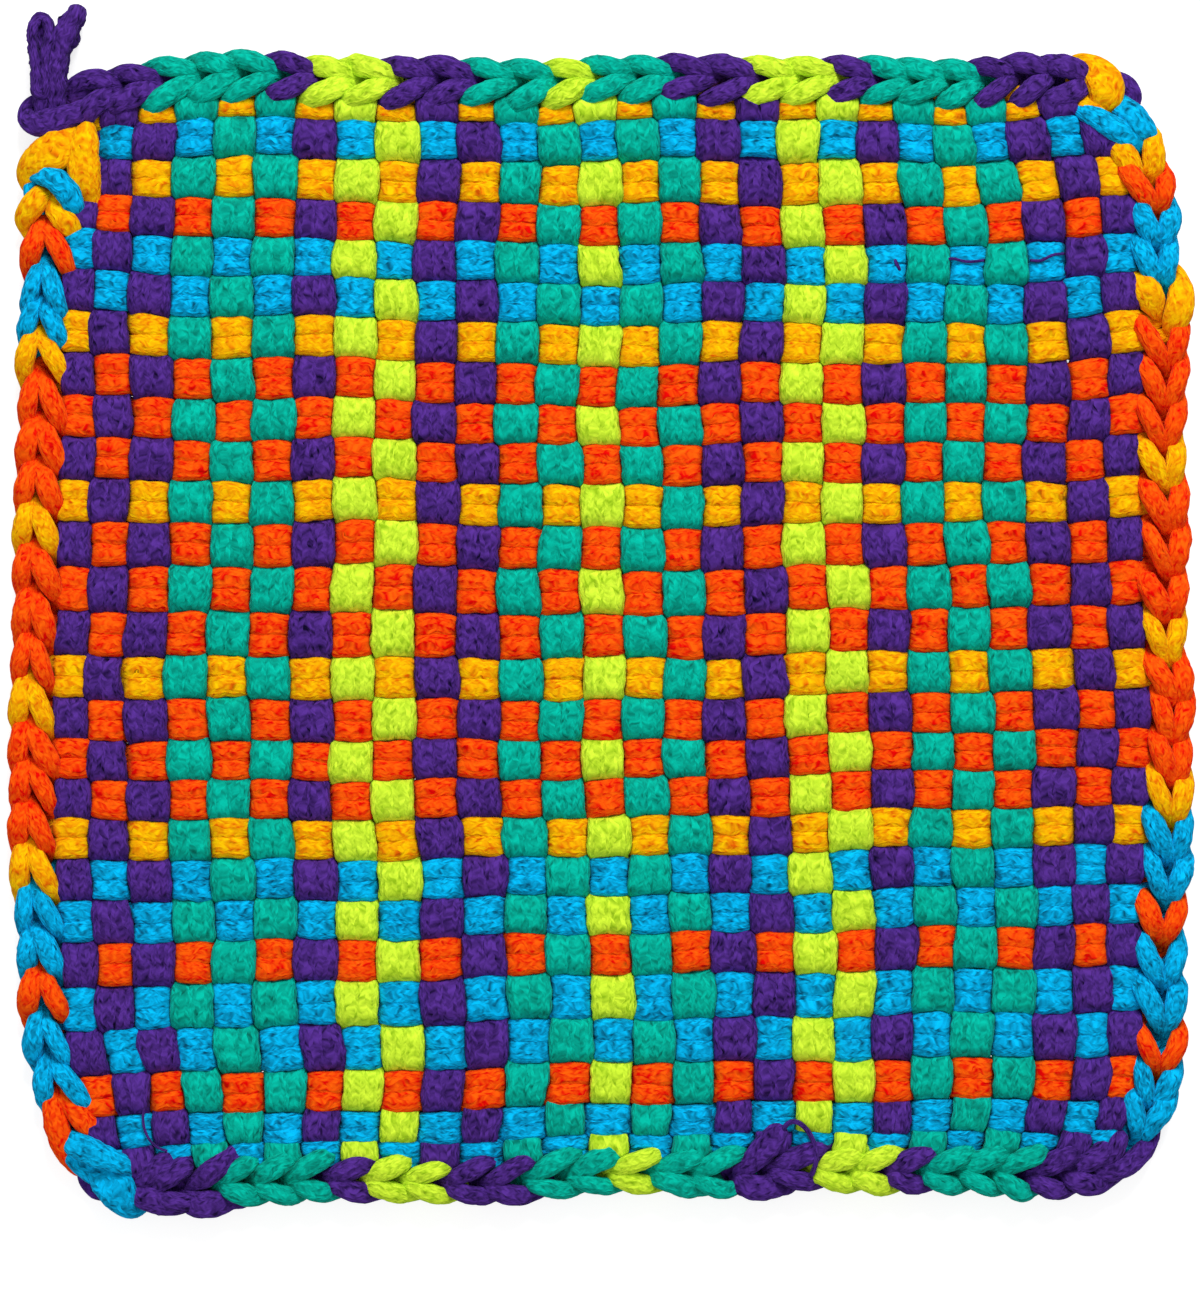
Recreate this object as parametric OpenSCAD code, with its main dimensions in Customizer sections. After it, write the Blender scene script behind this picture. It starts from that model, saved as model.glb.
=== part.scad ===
// Woven loop potholder: closed cotton loops in plain weave, a chain-stitched edge and a hanging loop.
// Millimetres. +Z is up, +Y is towards the edge with the hanging loop, and z = 0 is the table.
// The origin is the middle of the woven field, on the underside.

/* [Loops] */
// Colour of each warp loop from the left: P purple, T teal, L lime
warp_colours = "PPPTTTPLLPPTTLTTPPLLPTTTPPP"; // a letter for each loop
// Colour of each weft loop from the top: O orange, B blue, R red
weft_colours = "OBORBBORRRORRRORRROBBRBBRBB"; // a letter for each loop
// Distance between neighbouring warp loops
column_pitch = 7.2; // [6.8:0.1:8.4]
// Distance between neighbouring weft loops
row_pitch = 7.1; // [6.8:0.1:8.4]
// Thickness of a pressed loop where it crosses another
loop_thickness = 3.2; // [2.8:0.1:3.8]
// Width that a loop draws in by, on each side, where it dives between its neighbours
dive = 2; // [1.7:0.1:2.2]
// Width of the crease between a weft loop's two strands, which a taut warp loop doesn't show
crease_width = 1.2; // [0.6:0.1:1.8]
// Depth of that crease
crease_depth = 0.5; // [0.3:0.1:0.9]

/* [Chained edge] */
// Width of the chained edge outside the woven field
edge_width = 8.3; // [7.8:0.1:9.4]
// Thickness of the stitches that show on top of the edge
stitch_thickness = 2.6; // [2:0.1:3.2]
// Thickness of the far end of a stitch, which passes under the next one
bight_thickness = 1.05; // [0.8:0.05:1.3]
// Width of the far end of a stitch
bight_width = 1.3; // [1:0.1:1.5]
// Length along the edge of the strand that rises from a loop into its stitch
riser_length = 2.4; // [2:0.1:2.6]
// Half width of that strand across the edge
riser_half_width = 1.1; // [0.8:0.1:1.3]
// Height of the corner stitch's low strand behind the hanging loop
low_strand_height = 4.4; // [3.8:0.1:4.8]
// Bevel of the corner that carries the hanging loop
hanging_corner_bevel = 3; // [1:0.5:3.5]

/* [Hanging loop] */
// Width of the hanging loop's stem
stem_width = 5.4; // [4.6:0.1:5.6]
// Radius of the stem's root, round the strand that it hangs on
root_radius = 2.4; // [2.2:0.1:2.5]
// Radius of the strand that it hangs on
strand_radius = 1; // [0.8:0.1:1.1]
// Length from that strand to the middle of the hanging loop's far bend
loop_reach = 7.8; // [7.4:0.2:12]
// Outer radius of the far bend, seen from the side
bend_radius = 4.2; // [4:0.1:4.6]
// Radius of the eye that a hook goes through
eye_radius = 2.3; // [2.1:0.05:2.4]
// Length of the eye's straight part
eye_straight = 2.6; // [2.2:0.1:3]
// Width of the far bend across its two ears
ears_width = 10; // [8:0.5:11]
// Depth of the saddle between the two ears
saddle_depth = 1.1; // [0.5:0.1:1.4]

/* [Clearances] */
// Gap between neighbouring loops, side by side
side_gap = 0.16; // [0.12:0.02:0.24]
// Gap between loops that lie one over the other
lay_gap = 0.12; // [0.1:0.02:0.2]
// Gap between the layers of the chained edge
edge_gap = 0.15; // [0.12:0.01:0.2]
// Gap along the edge between one stitch and the next
stitch_gap = 0.36; // [0.3:0.02:0.5]
// Gap along the edge between a rising strand and the far ends of stitches beside it
riser_gap = 0.2; // [0.15:0.05:0.3]
// Gap between the hanging loop and the stitch around it
swing_gap = 0.3; // [0.25:0.05:0.4]
// Gap between the hanging loop's root and the strand it hangs on
strand_gap = 0.2; // [0.15:0.05:0.25]

/* [Hidden] */
warp_count = len(warp_colours);
weft_count = len(weft_colours);
field_width = warp_count * column_pitch;
field_height = weft_count * row_pitch;
side_inset = side_gap / 2;

// Levels of the weave, from the underside up
under_top = loop_thickness;
over_bottom = loop_thickness + lay_gap;
weave_top = 2 * loop_thickness + lay_gap;
weave_middle = weave_top / 2;

// Levels of the chained edge, from the underside up
bight_bottom = under_top + edge_gap;
bight_top = bight_bottom + bight_thickness;
stitch_bottom = bight_top + edge_gap;
stitch_top = stitch_bottom + stitch_thickness;

// Places across the edge, outwards from the field: the chain's inner side, the inner end of a
// stitch's far end, the chain's middle line and half width, and the end of a loop's foot
stitch_inset = edge_gap;
bight_inset = stitch_inset + 0.75;
chain_line = (edge_width + stitch_inset) / 2;
chain_half = (edge_width - stitch_inset) / 2;
foot_reach = edge_width - 0.35;

// A loop that ends on top dives this much before the field's edge, to leave the chain room
early_dive = 1.2;

// Overlap that makes two shapes of one loop a single solid, and how far a cut runs past its solid
join = 0.3;
over_cut = 1;

// The hanging loop, on the corner past the first warp loop
hinge_y = field_height / 2 + chain_line;
hinge_z = bend_radius;
pocket_width = stem_width + 2 * swing_gap;
hanging_x = -field_width / 2 - pocket_width / 2;
strip_depth = chain_line - root_radius - swing_gap;
cheek_reach = norm([edge_width - chain_line, stitch_top - hinge_z]);
loop_end = loop_reach + bend_radius;
eye_start = loop_reach - eye_straight;

// The hanging loop's ears widen past the stitch that it swings in, and are bevelled at their tips
ear_start = max(cheek_reach + swing_gap, loop_reach - 2);
ear_tip = loop_end - 1;
ear_bevel = 1.4;

PURPLE = [0.26, 0.11, 0.48];
TEAL = [0.0, 0.62, 0.52];
LIME = [0.74, 0.93, 0.08];
ORANGE = [1.0, 0.62, 0.02];
BLUE = [0.0, 0.62, 0.84];
RED = [1.0, 0.27, 0.03];

function loop_colour(letter) =
    letter == "P" ? PURPLE
    : letter == "T" ? TEAL
    : letter == "L" ? LIME
    : letter == "O" ? ORANGE
    : letter == "B" ? BLUE
    : RED;

function two_digits(number) = str(number < 10 ? "0" : "", number);
function warp_name(number) = str("warp_loop_", two_digits(number));
function weft_name(number) = str("weft_loop_", two_digits(number));

// Upper and lower line of a loop seen from the side, where it goes down past the place at
function down_upper(at, early) = [
    [at - side_inset - early, weave_top],
    [at + dive - side_inset - early, under_top]
];
function down_lower(at) = [[at - dive + side_inset, over_bottom], [at + side_inset, 0]];

// The same lines where it comes up
function up_upper(at, early) = [
    [at - dive + side_inset + early, under_top],
    [at + side_inset + early, weave_top]
];
function up_lower(at) = [[at - side_inset, 0], [at + dive - side_inset, over_bottom]];

// Side outline of a loop that makes count crossings, each over or under in turn, from foot to foot
function side_outline(count, pitch, starts_over) =
    let (
        is_over = function (crossing) (crossing % 2 == 0) == starts_over,
        length = count * pitch,
        upper = [
            for (bend = [0:count])
                let (
                    before = bend > 0 && is_over(bend - 1),
                    after = bend < count && is_over(bend),
                    early = bend == 0 || bend == count ? early_dive : 0
                )
                if (before != after)
                    each (after ? up_upper(bend * pitch, early) : down_upper(bend * pitch, early))
        ],
        lower = [
            for (bend = [0:count])
                let (
                    before = bend > 0 && is_over(bend - 1),
                    after = bend < count && is_over(bend)
                )
                if (before != after)
                    each (after ? up_lower(bend * pitch) : down_lower(bend * pitch))
        ]
    )
    concat(
        [[-foot_reach, under_top]],
        upper,
        [[length + foot_reach, under_top], [length + foot_reach, 0]],
        [for (place = [len(lower) - 1:-1:0]) lower[place]],
        [[-foot_reach, 0]]
    );

// End outline of a loop: full width at its outer faces and drawn in at mid height
module end_outline(pitch, has_crease) {
    half = pitch / 2 - side_inset;
    crease = crease_width / 2;
    low_crease = has_crease ? [[-crease, 0], [0, crease_depth], [crease, 0]] : [];
    high_crease = [for (point = low_crease) [-point[0], weave_top - point[1]]];
    polygon(concat(
        [[-half, 0]],
        low_crease,
        [[half, 0], [half - dive, weave_middle], [half, weave_top]],
        high_crease,
        [[-half, weave_top], [-half + dive, weave_middle]]
    ));
}

// Woven run of one loop along +X from x = 0, with its feet past both edges of the field
module woven_run(count, pitch, own_pitch, starts_over, has_crease) {
    length = count * pitch;
    intersection() {
        rotate([90, 0, 0])
            linear_extrude(own_pitch, center = true)
                polygon(side_outline(count, pitch, starts_over));
        translate([-edge_width, 0, 0])
            rotate([90, 0, 90])
                linear_extrude(length + 2 * edge_width)
                    end_outline(own_pitch, has_crease);
    }
}

// A stitch is drawn in the lane of its loop: x runs along the edge the way the chain grows,
// y = 0 is the edge of the field and the chain is on the side of -y
function riser_start(pitch) =
    max(dive + side_inset, pitch * riser_half_width / chain_half + stitch_gap / 2);
function bight_start(pitch) = riser_start(pitch) + riser_length + riser_gap;
function bight_end(pitch) = bight_start(pitch) + bight_width;
function tip_end(pitch) = bight_end(pitch) + join;
function tip_half(pitch) = chain_half * (tip_end(pitch) + stitch_gap / 2) / pitch;

// Half of the stitch nearest its root: the closed end of the V, up to the lane's far side
module stitch_root_outline(pitch) {
    start = stitch_gap / 2;
    polygon([
        [start, -chain_line],
        [pitch + start, -chain_line + chain_half],
        [pitch + join + start, -chain_line + chain_half],
        [pitch + join + start, -chain_line - chain_half],
        [pitch + start, -chain_line - chain_half]
    ]);
}

// Half of the stitch farthest from its root: the two tips, in the next loop's lane from x = 0
module stitch_tip_outline(pitch, back) {
    half = tip_half(pitch);
    polygon([
        [-back, -chain_line + chain_half],
        [tip_end(pitch), -chain_line + chain_half],
        [tip_end(pitch), -chain_line + half],
        [-stitch_gap / 2, -chain_line],
        [tip_end(pitch), -chain_line - half],
        [tip_end(pitch), -chain_line - chain_half],
        [-back, -chain_line - chain_half]
    ]);
}

// Strand that rises from the loop's foot into the stitch
module riser(pitch) {
    translate([riser_start(pitch), -chain_line - riser_half_width, under_top - join])
        cube([riser_length, 2 * riser_half_width, stitch_bottom - under_top + 2 * join]);
}

// Far end of the stitch, which passes under the next one, in the next loop's lane
module bight(pitch) {
    translate([bight_start(pitch), -edge_width, bight_bottom])
        cube([bight_width, edge_width - bight_inset, bight_thickness]);
    translate([0, 0, bight_bottom])
        linear_extrude(stitch_bottom - bight_bottom + join)
            intersection() {
                stitch_tip_outline(pitch, 0);
                translate([bight_start(pitch), -edge_width])
                    square([bight_width, edge_width - bight_inset]);
            }
}

// Whole stitch of a loop whose next neighbour is on the same edge
module straight_stitch(pitch) {
    riser(pitch);
    translate([0, 0, stitch_bottom])
        linear_extrude(stitch_thickness)
            union() {
                intersection() {
                    stitch_root_outline(pitch);
                    translate([0, -edge_width])
                        square([pitch, edge_width]);
                }
                translate([pitch, 0])
                    stitch_tip_outline(pitch, stitch_gap / 2);
            }
    translate([pitch, 0, 0])
        bight(pitch);
}

// Plan of the corner that a corner stitch fills, with the lane's end at x = 0
module round_corner_outline() {
    steps = 6;
    depth = edge_width - side_inset;
    polygon(concat(
        [[-join, -side_inset], [-join, -edge_width]],
        [
            for (step = [0:steps])
                let (turn = 90 * step / steps)
                [edge_width * sin(turn), -side_inset - depth * cos(turn)]
        ]
    ));
}

module bevelled_corner_outline() {
    polygon([
        [-join, -side_inset],
        [-join, -edge_width],
        [edge_width - hanging_corner_bevel, -edge_width],
        [edge_width, -edge_width + hanging_corner_bevel],
        [edge_width, -side_inset]
    ]);
}

// Last stitch of an edge, which fills the corner and closes over the first lane of the next edge
module corner_stitch(pitch, next_pitch, holds_loop) {
    riser(pitch);
    translate([0, 0, stitch_bottom])
        linear_extrude(stitch_thickness)
            intersection() {
                stitch_root_outline(pitch);
                translate([0, -edge_width])
                    square([pitch, edge_width]);
            }
    translate([pitch, 0, 0])
        linear_extrude(stitch_top)
            if (holds_loop) bevelled_corner_outline();
            else round_corner_outline();
    translate([pitch, 0, 0])
        rotate(90) {
            translate([0, 0, stitch_bottom])
                linear_extrude(stitch_thickness)
                    stitch_tip_outline(next_pitch, join);
            bight(next_pitch);
        }
    translate([bight_end(pitch) + riser_gap, -foot_reach, 0])
        cube([
            pitch - bight_end(pitch) - riser_gap,
            foot_reach - side_inset,
            stitch_bottom + join
        ]);
}

// Room for the hanging loop's root in its corner stitch, in the same lane
module hanging_pocket(pitch) {
    translate([pitch, -edge_width - over_cut, -over_cut])
        cube([pocket_width, edge_width + over_cut - strip_depth, stitch_top + 2 * over_cut]);
    translate([pitch, -strip_depth - over_cut, low_strand_height])
        cube([pocket_width, over_cut + strip_depth - side_inset - join, stitch_top]);
}

// Strand of the corner stitch that the hanging loop's root goes round
module hanging_strand(pitch) {
    translate([pitch - join, -chain_line, hinge_z])
        rotate([0, 90, 0])
            cylinder(r = strand_radius, h = pocket_width + 2 * join, $fn = 48);
}

// Places a stitch's lane on an edge: side 0 is the bottom, 1 the right, 2 the top and 3 the left
module lane(side, number) {
    half_size = side % 2 == 0 ? [field_width, field_height] / 2 : [field_height, field_width] / 2;
    pitch = side % 2 == 0 ? column_pitch : row_pitch;
    rotate(90 * side)
        translate([number * pitch - half_size[0], -half_size[1], 0])
            children();
}

// Warp loop, numbered from the left
module warp_loop(number) {
    color(loop_colour(warp_colours[number - 1])) {
        starts_over = (weft_count + number) % 2 == 1;
        translate([(number - 0.5) * column_pitch - field_width / 2, -field_height / 2, 0])
            rotate(90)
                woven_run(weft_count, row_pitch, column_pitch, starts_over, false);
        lane(0, number - 1)
            if (number == warp_count) corner_stitch(column_pitch, row_pitch, false);
            else straight_stitch(column_pitch);
        lane(2, warp_count - number)
            if (number > 1) straight_stitch(column_pitch);
            else {
                difference() {
                    corner_stitch(column_pitch, row_pitch, true);
                    hanging_pocket(column_pitch);
                }
                hanging_strand(column_pitch);
            }
    }
}

// Weft loop, numbered from the top
module weft_loop(number) {
    color(loop_colour(weft_colours[number - 1])) {
        starts_over = (number + 1) % 2 == 0;
        translate([-field_width / 2, field_height / 2 - (number - 0.5) * row_pitch, 0])
            woven_run(warp_count, column_pitch, row_pitch, starts_over, true);
        lane(3, number - 1)
            if (number == weft_count) corner_stitch(row_pitch, column_pitch, false);
            else straight_stitch(row_pitch);
        lane(1, weft_count - number)
            if (number == 1) corner_stitch(row_pitch, column_pitch, false);
            else straight_stitch(row_pitch);
    }
}

// Side outline of the hanging loop, from its root at the origin out along +X
module hanging_side_outline() {
    lean = asin((bend_radius - root_radius) / loop_reach);
    difference() {
        union() {
            circle(root_radius, $fn = 64);
            translate([loop_reach, 0])
                circle(bend_radius, $fn = 64);
            polygon([
                root_radius * [-sin(lean), cos(lean)],
                root_radius * [-sin(lean), -cos(lean)],
                [loop_reach, 0] + bend_radius * [-sin(lean), -cos(lean)],
                [loop_reach, 0] + bend_radius * [-sin(lean), cos(lean)]
            ]);
        }
        circle(strand_radius + strand_gap, $fn = 48);
        translate([eye_start, 0])
            circle(eye_radius, $fn = 48);
        translate([loop_reach, 0])
            circle(eye_radius, $fn = 48);
        translate([eye_start, -eye_radius])
            square([eye_straight, 2 * eye_radius]);
    }
}

// Plan of the hanging loop: a straight stem that opens into two ears with a saddle between them
module hanging_plan_outline() {
    stem = stem_width / 2;
    ear = ears_width / 2;
    past_end = loop_end + join;
    right_side = [
        [stem, -root_radius - over_cut],
        [stem, ear_start],
        [ear, ear_tip - ear_bevel],
        [ear, ear_tip],
        [ear - ear_bevel, past_end],
        [ear_bevel, past_end],
        [0, loop_end - saddle_depth]
    ];
    left_side = [for (place = [len(right_side) - 2:-1:0]) [-right_side[place][0], right_side[place][1]]];
    polygon(concat(right_side, left_side));
}

module hanging_loop() {
    color(PURPLE)
        translate([hanging_x, hinge_y, hinge_z])
            intersection() {
                rotate([90, 0, 90])
                    linear_extrude(2 * ears_width, center = true)
                        hanging_side_outline();
                linear_extrude(4 * bend_radius, center = true)
                    hanging_plan_outline();
            }
}

for (number = [1:warp_count]) {
    warp_loop(number);
}
for (number = [1:weft_count]) {
    weft_loop(number);
}
hanging_loop();
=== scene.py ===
"""Looks of the woven loop potholder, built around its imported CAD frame."""

import math

import bpy
import numpy as np
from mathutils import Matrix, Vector


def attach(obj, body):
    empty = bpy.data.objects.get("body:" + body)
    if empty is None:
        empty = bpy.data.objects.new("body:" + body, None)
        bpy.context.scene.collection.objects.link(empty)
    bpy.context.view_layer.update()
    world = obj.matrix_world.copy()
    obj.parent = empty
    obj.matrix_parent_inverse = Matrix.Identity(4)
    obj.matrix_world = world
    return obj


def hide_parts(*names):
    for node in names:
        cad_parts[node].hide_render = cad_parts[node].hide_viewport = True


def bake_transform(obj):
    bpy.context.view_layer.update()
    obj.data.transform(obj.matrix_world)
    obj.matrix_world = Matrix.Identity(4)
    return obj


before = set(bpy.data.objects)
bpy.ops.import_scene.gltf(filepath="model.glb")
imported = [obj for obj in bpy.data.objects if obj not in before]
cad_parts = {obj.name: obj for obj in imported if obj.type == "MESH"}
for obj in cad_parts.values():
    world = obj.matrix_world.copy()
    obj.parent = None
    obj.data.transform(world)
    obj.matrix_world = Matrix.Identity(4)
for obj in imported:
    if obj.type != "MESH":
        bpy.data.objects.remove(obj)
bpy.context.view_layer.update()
scene = bpy.context.scene

MM = 0.001
SEED = 27
WARP_SEEDS = 100

# Loops each way, a letter for each colour, as in the part's source
LOOPS = 27
WARP_COLOURS = "PPPTTTPLLPPTTLTTPPLLPTTTPPP"
WEFT_COLOURS = "OBORBBORRRORRRORRROBBRBBRBB"
SLOTS = {
    "P": "purple_cotton",
    "T": "teal_cotton",
    "L": "lime_cotton",
    "O": "orange_cotton",
    "B": "blue_cotton",
    "R": "red_cotton",
}

# Centres of the columns and rows, in millimetres: pairs of number and place
COLUMN_KNOTS = ((1, -94.5), (2, -88.6), (3, -81.3), (14, -0.2), (25, 79.7), (26, 87.4), (27, 93.6))
ROW_KNOTS = (
    (1, 94.4),
    (2, 88.3),
    (3, 80.8),
    (6, 59.7),
    (12, 15.9),
    (14, 0.1),
    (16, -15.1),
    (19, -36.3),
    (22, -58.0),
    (25, -82.1),
    (26, -88.9),
    (27, -94.3),
)

# Half the square cloth, before it is laid as in the photograph
HALF_WIDTH = 105.5
HALF_HEIGHT = 104.0

# Centre line of the chained edge: its sides, the radius at its corners and the steps round one, the
# distance between its points, and how far to each side a point looks for its direction
CHAIN_LEFT = -101.0
CHAIN_RIGHT = 100.8
CHAIN_TOP = 98.9
CHAIN_BOTTOM = -99.4
CHAIN_CORNER = 7.5
CORNER_STEPS = 12
CHAIN_STEP = 0.25
TANGENT_REACH = 1.6

# Height of a strand in the woven field: the middle of its waves, their size, the share of half a
# crossing in which it climbs, the shifts of warp and weft, and how far a crown rises
MIDDLE_Z = 3.26
WAVE = 1.62
CLIMB = 0.46
WARP_LIFT = 0.3
WEFT_DROP = 0.26
CROWN = 0.22
# Its thickness, how much thinner and narrower it is where neighbours press it, and how much wider
# where it runs under one, as shares
STRAND_HEIGHT = 3.2
PINCH_HEIGHT = 0.26
PINCH_WIDTH = 0.04
UNDER_WIDTH = 0.14
# Its distance from the middle of its loop and its width, as shares of the loop's spacing
WARP_OFFSET = 0.18
WARP_WIDTH = 0.71
WEFT_OFFSET = 0.208
WEFT_WIDTH = 0.61
# Warp strands are narrower near the bottom edge: share, middle and reach
BOTTOM_NARROWING = (0.15, -92, 10)
# Its random waves, as wavelength and size: offset, width and height as shares, and sideways
OFFSET_WANDER = (13, 0.09)
WIDTH_WANDER = (9, 0.03)
HEIGHT_WANDER = (11, 0.04)
SIDE_WANDER = (16, 0.16)
# Such a wave is a sum of this many, each with its length times a factor from this range
WANDER_COUNT = 4
WANDER_LENGTHS = (0.6, 1.7)
# How far past the last crossing its shape is worked out, and how far it runs
FIELD_MARGIN = 3.2
FIELD_END = 2.4
SAMPLES_PER_CROSSING = 14
# It ducks to this height between these distances inside the chain's centre line
DUCK_Z = 2.2
DUCK_FROM = 5.0
DUCK_TO = 1.5
# It also ducks below the stitches that carry the hanging loop: middle and reach
HANGER_X = (-95, 6)
HANGER_Y = (86, 11)

# Tubes: distance between rings, and corners in a ring
SAMPLE_STEP = 0.55
FINE_STEP = 0.4
AROUND = 18
# How lumpy a tube is, as a share of its size, and how square: 2 is round, and more is squarer
WOVEN_TUBE = (0.1, 2.6)
THREAD_TUBE = (0.02, 2.0)
HANGING_TUBE = (0.3, 2.3)
EYE_TUBE = (0.28, 2.2)
# Points of a path that are closer than this count as one. A stretch of a path through listed points
# gets this many
SMALLEST_STEP = 1e-4
RING_STEPS = 8
# Times that a path and its sideways directions are smoothed
PATH_SMOOTHING = 2
SIDE_SMOOTHING = 4
# Weight of straight up in the direction in which a flat strand faces, and the lowest point allowed
FACE_UP = 0.8
LOWEST_Z = 0.02
# A tube's knit pattern starts at a random place up to this far along
PATTERN_STARTS = 90


def knots(pairs):
    """Place of every loop, evenly spaced between the numbers that are given."""
    number = np.arange(1, LOOPS + 1)
    return np.interp(number, [p[0] for p in pairs], [p[1] for p in pairs])


COLUMNS = knots(COLUMN_KNOTS)
ROWS = knots(ROW_KNOTS)


def ramp(v, start, stop):
    """0 before the start and 1 past the stop, with a smooth rise between them."""
    x = np.clip((v - start) / (stop - start), 0.0, 1.0)
    return x * x * (3 - 2 * x)


def wander(s, rng, wavelength, size):
    """Smooth random wave of that size along s."""
    total = np.zeros_like(s)
    for _ in range(WANDER_COUNT):
        length = wavelength * rng.uniform(*WANDER_LENGTHS)
        total += np.sin(2 * math.pi * (s / length + rng.uniform())) / 2
    return total * size


PULL_POWER = 1.3


def pull(near, far, reach_near, reach_far):
    """1 in a corner of the cloth, and less away from the two edges that meet there."""
    from_near = (np.clip(near, 0, 2) / reach_near) ** PULL_POWER
    from_far = (np.clip(far, 0, 2) / reach_far) ** 2
    return np.exp(-from_near) * np.exp(-from_far)


def hill(v, middle, reach):
    """1 at the middle, and less to both sides of it."""
    return np.exp(-(((v - middle) / reach) ** 2))


# Corners drawn in by the chain: the two edges that meet, shift, and reach from each edge as a
# share of half the cloth
PULLS_X = (
    ("bottom", "left", 10.0, 0.2, 0.45),
    ("bottom", "right", -8.5, 0.14, 0.4),
    ("top", "right", -9.0, 0.2, 0.4),
    ("top", "left", 2.6, 0.5, 0.4),
)
PULLS_Y = (
    ("left", "bottom", 2.6, 0.2, 0.3),
    ("right", "bottom", 3.2, 0.14, 0.3),
    ("right", "top", -3.6, 0.14, 0.3),
    ("left", "top", -4.2, 0.16, 0.22),
)
# Slow waves of the columns and the rows: size, wavelengths along x and y, start in turns
WAVES_X = ((0.45, 300, 74, 0.12), (0.3, -140, 31, 0.4))
WAVES_Y = ((0.55, 88, 260, 0.63), (0.28, 37, 120, 0.2))
# Small uneven shifts of the cloth: middle x, y, reach x, y, shift x, y
NUDGES = (
    (8, 94, 25, 9, -1.2, 0),
    (-104, -31, 12, 15, -1.4, 0),
    (-104, 35, 12, 18, -0.6, 0),
    (20, -104, 60, 10, 0, 1.4),
    (20, 104, 30, 9, 0, -0.6),
    (-28, -32, 28, 30, 0, -1.1),
    (-42, -80, 38, 13, 0.9, 0),
    (60, -78, 18, 12, -0.8, 0),
    (-40, 14, 38, 12, -0.5, 0),
    (-48, 59, 22, 9, 0.9, 0),
    (-32, -2, 18, 10, 0, -0.8),
    (-56, 74, 13, 9, 0, -0.8),
    (25, 74, 13, 9, 0, -0.7),
    (-56, -102, 17, 12, 0, 1.7),
    (-38, -102, 12, 9, 0, 0.7),
    (-88, -62, 10, 10, 0.5, -1.0),
    (-88, -78, 8, 8, 2.2, 0),
    (-72, -78, 7, 8, -0.3, 0),
    (-56, -78, 8, 8, 1.1, 0),
    (8, -78, 20, 9, 0.6, 0),
    (16, -62, 14, 9, -0.6, 0),
    (89, -47, 7, 8, -1.1, 0),
    (25, -2, 9, 8, -0.8, 0),
    (25, 90, 38, 9, -0.7, 0),
    (24, 74, 28, 10, -0.6, 0),
    (73, 74, 8, 7, 0, 0.9),
    (89, 59, 9, 9, -0.8, 0),
    (0, 29, 90, 8, 0, 0.4),
    (8, 29, 9, 7, 0, 0.5),
    (104, -5, 5, 5, -1.2, 0),
    (104, -20, 5, 5, -1.1, 0),
    (104, 66, 5, 5, -1.2, 0),
    (-103, -80, 7, 11, 1.0, 0),
    (78, -103, 5, 4, 0, -1.4),
    (20, -103, 5, 4, 0, -1.3),
)


def shares_inside(x, y):
    """How far a point is inside each edge of the cloth, as a share of half the cloth."""
    return {
        "left": (x + HALF_WIDTH) / HALF_WIDTH,
        "right": (HALF_WIDTH - x) / HALF_WIDTH,
        "bottom": (y + HALF_HEIGHT) / HALF_HEIGHT,
        "top": (HALF_HEIGHT - y) / HALF_HEIGHT,
    }


def corners_and_waves(x, y, pulls, waves):
    """Shift, along x or y, from the corners drawn in and the slow waves."""
    inside = shares_inside(x, y)
    shift = 0
    for near, far, amount, reach_near, reach_far in pulls:
        shift = shift + amount * pull(inside[near], inside[far], reach_near, reach_far)
    for size, length_x, length_y, start in waves:
        shift = shift + size * np.sin(2 * math.pi * (x / length_x + y / length_y + start))
    return shift


def place(x, y):
    """Where a point of the square cloth lies in the photograph."""
    inside = shares_inside(x, y)
    lower_half_leans = 1.6 * ramp(y, -10, -60) * ramp(x, -60, 20) * ramp(x, 100, 75)
    middle_leans = 0.8 * hill(y, -29, 24) * ramp(x, -45, -15)
    dx = corners_and_waves(x, y, PULLS_X, WAVES_X) + lower_half_leans + middle_leans
    rows_open_at_left = 0.04 * y * hill(inside["left"], 0, 0.25) * ramp(y, 95, 65)
    rows_rise_at_right = 2.0 * hill(inside["right"], 0, 0.23) * ramp(y, -100, -40)
    rows_close_up = np.where(y > 0, 0.018, 0.026) * y * hill(x, 45, 42) * ramp(y, 98, 68)
    middle_sags = 0.7 * np.cos(math.pi * x / 210) * hill(y, 20, 60)
    dy = corners_and_waves(x, y, PULLS_Y, WAVES_Y) + rows_open_at_left + rows_rise_at_right
    dy = dy - rows_close_up - middle_sags
    for middle_x, middle_y, reach_x, reach_y, shift_x, shift_y in NUDGES:
        near = hill(x, middle_x, reach_x) * hill(y, middle_y, reach_y)
        dx = dx + shift_x * near
        dy = dy + shift_y * near
    return x + dx, y + dy


def chain_line():
    """Distances along the chain, its points there and its length. It runs down the left side, along
    the bottom, up the right side and back along the top."""
    points = []
    corners = (
        (CHAIN_LEFT, CHAIN_BOTTOM, 180),
        (CHAIN_RIGHT, CHAIN_BOTTOM, 270),
        (CHAIN_RIGHT, CHAIN_TOP, 0),
        (CHAIN_LEFT, CHAIN_TOP, 90),
    )
    for x, y, start in corners:
        cx = x - math.copysign(CHAIN_CORNER, x)
        cy = y - math.copysign(CHAIN_CORNER, y)
        for k in range(CORNER_STEPS + 1):
            a = math.radians(start + 90 * k / CORNER_STEPS)
            points.append((cx + CHAIN_CORNER * math.cos(a), cy + CHAIN_CORNER * math.sin(a)))
    points.append(points[0])
    points = np.array(points)
    lengths = np.hypot(*np.diff(points, axis=0).T)
    along = np.concatenate([[0], np.cumsum(lengths)])
    fine = np.arange(0, along[-1], CHAIN_STEP)
    line = np.stack([np.interp(fine, along, points[:, 0]), np.interp(fine, along, points[:, 1])], 1)
    return fine, line, along[-1]


CHAIN_S, CHAIN_XY, CHAIN_LENGTH = chain_line()


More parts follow.
